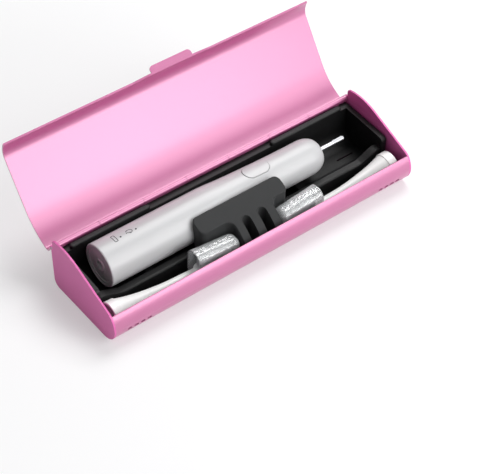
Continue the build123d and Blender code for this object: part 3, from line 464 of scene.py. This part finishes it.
# The end plates stay in the shell's slot of the record, and only their look is their own.
for name in ("left_end_plate", "right_end_plate"):
    frame["nodes"][name].data.materials[0] = finishes["end_plate"]
print(len(frame["nodes"]), "solids finished")

# %% [markdown]
# ## Bristles
# A brush head carries 28 tufts in 4 rows of 7, and each tuft is a bundle of nylon filaments
# that are folded in half and pressed into a hole. A block would never look like that. The
# filaments could be hair, but hair doesn't survive an export, so Geometry Nodes copy one
# slender six-sided stick on to points: first within a tuft, then the tuft over the head.
# A fixed seed gives each filament its own small lean and length.

# %% The tuft and the field of tufts as one tree
bristle_tree = bpy.data.node_groups.new("bristle_field", "GeometryNodeTree")
sizes = {
    # name: kind of socket, value (metres where it is a length)
    "Rows": ("NodeSocketInt", 7),
    "Columns": ("NodeSocketInt", 4),
    "Row Pitch": ("NodeSocketFloat", 3.1 * MM),
    "Column Pitch": ("NodeSocketFloat", 2.1 * MM),
    "Tuft Radius": ("NodeSocketFloat", 0.8 * MM),
    "Filament Radius": ("NodeSocketFloat", 0.09 * MM),
    "Filament Length": ("NodeSocketFloat", 10.0 * MM),
    "Filaments": ("NodeSocketInt", 38),
    "Seed": ("NodeSocketInt", 4),
    "Finish": ("NodeSocketMaterial", finishes["bristle_nylon"]),
}
socket_of = {}
for label, (kind, _) in sizes.items():
    socket = bristle_tree.interface.new_socket(label, in_out="INPUT", socket_type=kind)
    socket_of[label] = socket.identifier
bristle_tree.interface.new_socket("Geometry", in_out="OUTPUT", socket_type="NodeSocketGeometry")
given = add(bristle_tree, "NodeGroupInput").outputs

stick = add(bristle_tree, "GeometryNodeMeshCylinder", {
    "Vertices": 6, "Side Segments": 2, "Radius": given["Filament Radius"], "Depth": given["Filament Length"],
})
half = add(bristle_tree, "ShaderNodeMath", {0: given["Filament Length"], 1: 0.5}, operation="MULTIPLY")
lift = add(bristle_tree, "ShaderNodeCombineXYZ", {"Z": half.outputs[0]})
standing = add(bristle_tree, "GeometryNodeTransform", {"Geometry": stick.outputs["Mesh"],
                                                       "Translation": lift.outputs[0]})

# Points in a disc: an angle that turns by the golden angle, at a radius that grows as a root.
golden_angle = 2.39996  # radians
number = add(bristle_tree, "GeometryNodeInputIndex")
turn = add(bristle_tree, "ShaderNodeMath", {0: number.outputs[0], 1: golden_angle}, operation="MULTIPLY")
part_out = add(bristle_tree, "ShaderNodeMath", {0: number.outputs[0], 1: given["Filaments"]},
               operation="DIVIDE")
root = add(bristle_tree, "ShaderNodeMath", {0: part_out.outputs[0]}, operation="SQRT")
reach = add(bristle_tree, "ShaderNodeMath", {0: root.outputs[0], 1: given["Tuft Radius"]},
            operation="MULTIPLY")
outwards = add(bristle_tree, "ShaderNodeCombineXYZ", {"X": reach.outputs[0]})
spin = add(bristle_tree, "ShaderNodeVectorRotate", {"Vector": outwards.outputs[0], "Angle": turn.outputs[0]},
           rotation_type="Z_AXIS")
bundle = add(bristle_tree, "GeometryNodePoints", {"Count": given["Filaments"], "Position": spin.outputs[0]})
print(len(bristle_tree.nodes), "nodes for one tuft")

# %% Tufts over the head, with a lean and a length of their own
most_lean = 0.035  # radians
most_turn = 3.0  # radians
shortest = 0.965  # of the full length
field = add(bristle_tree, "GeometryNodeMeshGrid", {
    "Vertices X": given["Rows"], "Vertices Y": given["Columns"],
})
for label, count, pitch in (("Size X", "Rows", "Row Pitch"), ("Size Y", "Columns", "Column Pitch")):
    gaps = add(bristle_tree, "ShaderNodeMath", {0: given[count], 1: -1.0}, operation="ADD")
    span = add(bristle_tree, "ShaderNodeMath", {0: gaps.outputs[0], 1: given[pitch]}, operation="MULTIPLY")
    bristle_tree.links.new(span.outputs[0], field.inputs[label])
tufts = add(bristle_tree, "GeometryNodeInstanceOnPoints", {"Points": field.outputs["Mesh"],
                                                           "Instance": bundle.outputs[0]})
spread = add(bristle_tree, "GeometryNodeRealizeInstances", {"Geometry": tufts.outputs[0]})
lean = add(bristle_tree, "FunctionNodeRandomValue", {
    0: (-most_lean, -most_lean, 0.0), 1: (most_lean, most_lean, most_turn), "Seed": given["Seed"],
}, data_type="FLOAT_VECTOR")
other_seed = add(bristle_tree, "ShaderNodeMath", {0: given["Seed"], 1: 1.0}, operation="ADD")
trim = add(bristle_tree, "FunctionNodeRandomValue", {2: shortest, 3: 1.0, "Seed": other_seed.outputs[0]},
           data_type="FLOAT")
length = add(bristle_tree, "ShaderNodeCombineXYZ", {"X": 1.0, "Y": 1.0, "Z": trim.outputs[1]})
planted = add(bristle_tree, "GeometryNodeInstanceOnPoints", {
    "Points": spread.outputs[0], "Instance": standing.outputs[0], "Rotation": lean.outputs[0],
    "Scale": length.outputs[0],
})
whole = add(bristle_tree, "GeometryNodeRealizeInstances", {"Geometry": planted.outputs[0]})
dressed = add(bristle_tree, "GeometryNodeSetMaterial", {"Geometry": whole.outputs[0],
                                                        "Material": given["Finish"]})
add(bristle_tree, "NodeGroupOutput", {0: dressed.outputs[0]})
print(len(bristle_tree.nodes), "nodes in all")

# %% [markdown]
# The field is made once, around the origin, with the filaments standing up. Each head then gets
# a copy, set on its tilted paddle by one matrix. Its columns are the head's own directions:
# along the neck, across it, and out of the paddle. The place is counted in millimetres from the
# foot of the neck, near the end of the case: so far along the neck, and so far out of it.

# %% Planting both heads
bare = bpy.data.objects.new("bristle_field", bpy.data.meshes.new("bristle_field"))
bpy.context.scene.collection.objects.link(bare)
grower = bare.modifiers.new("bristles", "NODES")
grower.node_group = bristle_tree
for label, (_, value) in sizes.items():
    grower[socket_of[label]] = value
bpy.context.view_layer.update()
grown = bpy.data.meshes.new_from_object(bare.evaluated_get(bpy.context.evaluated_depsgraph_get()))
bare.modifiers.clear()
bpy.data.objects.remove(bare)

tilt = math.radians(3.4)
foot_outwards, foot_y, foot_z = 109.5, -18.9, 11.9
field_along = 76.0
field_out = 2.3
for side, towards in (("left", 1.0), ("right", -1.0)):
    along = Vector((towards * math.cos(tilt), 0.0, -math.sin(tilt)))
    out = Vector((towards * math.sin(tilt), 0.0, math.cos(tilt)))
    across = out.cross(along)
    foot = Vector((-towards * foot_outwards, foot_y, foot_z)) * MM
    middle = foot + along * field_along * MM + out * field_out * MM
    seat = Matrix((along, across, out)).transposed().to_4x4()
    seat.translation = middle
    mesh = grown.copy()
    mesh.transform(seat)
    bristles = bpy.data.objects.new(side + "_bristle_tufts", mesh)
    bpy.context.scene.collection.objects.link(bristles)
    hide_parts(side + "_bristles")
    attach(bristles, side + "_head")
    print(bristles.name, len(mesh.polygons), "faces")

# %% [markdown]
# ## Printed marks on the handle
# Small grey marks are pad-printed beside the two lights: a battery beside the first and a bow
# with a wave, for the cleaning mode, beside the second. Ink is a film, but it has an edge, so each
# mark is a thin ribbon bent round the handle. The strokes are drawn flat, along the handle and
# around it in millimetres, and every point is then wrapped on to the cylinder. The record has no
# slot for ink, so the marks get a finish of their own.

# %% Wrapping strokes round the handle
housing_low, housing_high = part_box("handle_housing")
handle_radius = (housing_high.y - housing_low.y) / 2
stroke_width, ink_sunk, ink_proud = 0.45 * MM, 0.05 * MM, 0.03 * MM
longest_step = 0.5


def wrapped(along, around, height):
    """A flat point on the handle's surface: along it from its base, and around it from the top."""
    angle = around / handle_radius
    radius = handle_radius + height
    return (housing_low.x + along, handle_axis[0] - radius * math.sin(angle),
            handle_axis[1] + radius * math.cos(angle))


def shortened(points, closed):
    """The same line in steps of half a millimetre at most, so that it can follow the cylinder."""
    fine = []
    ends = points[1:] + points[:1] if closed else points[1:]
    for (a, b), (next_a, next_b) in zip(points, ends):
        steps = max(1, math.ceil(math.hypot(next_a - a, next_b - b) / longest_step))
        fine += [(a + (next_a - a) * k / steps, b + (next_b - b) * k / steps) for k in range(steps)]
    return fine if closed else fine + [points[-1]]


def print_stroke(ink, points, closed):
    """Adds one ribbon through flat points (mm) to a bmesh, as a closed thin bar."""
    points = shortened(points, closed)
    count = len(points)
    rings = []
    for i, (a, b) in enumerate(points):
        before = points[i - 1] if closed or i > 0 else points[i]
        after = points[(i + 1) % count] if closed or i < count - 1 else points[i]
        course = Vector((after[0] - before[0], after[1] - before[1])).normalized()
        side_step = Vector((-course.y, course.x)) * stroke_width / 2
        corners = []
        for sign, height in ((-1, -ink_sunk), (1, -ink_sunk), (1, ink_proud), (-1, ink_proud)):
            spot_on = wrapped(a * MM + sign * side_step.x, b * MM + sign * side_step.y, height)
            corners.append(ink.verts.new(spot_on))
        rings.append(corners)
    for i in range(count if closed else count - 1):
        one, two = rings[i], rings[(i + 1) % count]
        for k in range(4):
            ink.faces.new((one[k], one[(k + 1) % 4], two[(k + 1) % 4], two[k]))
    if not closed:
        ink.faces.new(reversed(rings[0]))
        ink.faces.new(rings[-1])


print("handle radius", round(handle_radius / MM, 2), "mm")

# %% The battery and the cleaning mode
ink = bmesh.new()
battery_at, mode_at = (12.6, -1.1), (22.9, -0.7)
corner_radius = 0.5
corner_in, corner_up = 0.5, 2.4
corner_steps = 4
battery = []
for way_along, way_around, start in ((1, 1, 0), (-1, 1, 90), (-1, -1, 180), (1, -1, 270)):
    for step in range(corner_steps + 1):
        turned_by = math.radians(start + step * 90 / corner_steps)
        battery.append((battery_at[0] + way_along * corner_in + corner_radius * math.cos(turned_by),
                        battery_at[1] + way_around * corner_up + corner_radius * math.sin(turned_by)))
print_stroke(ink, battery, True)
bow_along, bow_around = 2.1, 1.6
bow_start, bow_turn, bow_points = 200, 21, 13
bow = []
for step in range(bow_points):
    turned_by = math.radians(bow_start + step * bow_turn)
    bow.append((mode_at[0] + bow_along * math.cos(turned_by),
                mode_at[1] + bow_around * math.sin(turned_by)))
print_stroke(ink, bow, False)
wave_start, wave_pitch, wave_points = 2.4, 0.3, 11
wave_drop, wave_height = 0.7, 0.4
wave = [(mode_at[0] - wave_start + step * wave_pitch,
         mode_at[1] + wave_drop - wave_height * math.sin(step * math.pi / 5))
        for step in range(wave_points)]
print_stroke(ink, wave, False)
bmesh.ops.recalc_face_normals(ink, faces=ink.faces)
mark_mesh = bpy.data.meshes.new("handle_marks")
ink.to_mesh(mark_mesh)
ink.free()
ink_tree, ink_shader, spot = start_finish("printed_ink", "pad_printed_ink_grey", {"Roughness": 0.55})
specks = add(ink_tree, "ShaderNodeTexNoise", {"Vector": spot, "Scale": per_mm(0.3), "Detail": 1.0})
greys = add(ink_tree, "ShaderNodeMix", {0: specks.outputs[0], 6: paint("#2A2B2D"), 7: paint("#38393C")},
            data_type="RGBA")
ink_tree.links.new(greys.outputs[2], ink_shader.inputs["Base Color"])
mark_mesh.materials.append(finishes["printed_ink"])
marks = bpy.data.objects.new("handle_marks", mark_mesh)
bpy.context.scene.collection.objects.link(marks)
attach(marks, "toothbrush")
print("marks", len(mark_mesh.polygons), "faces")
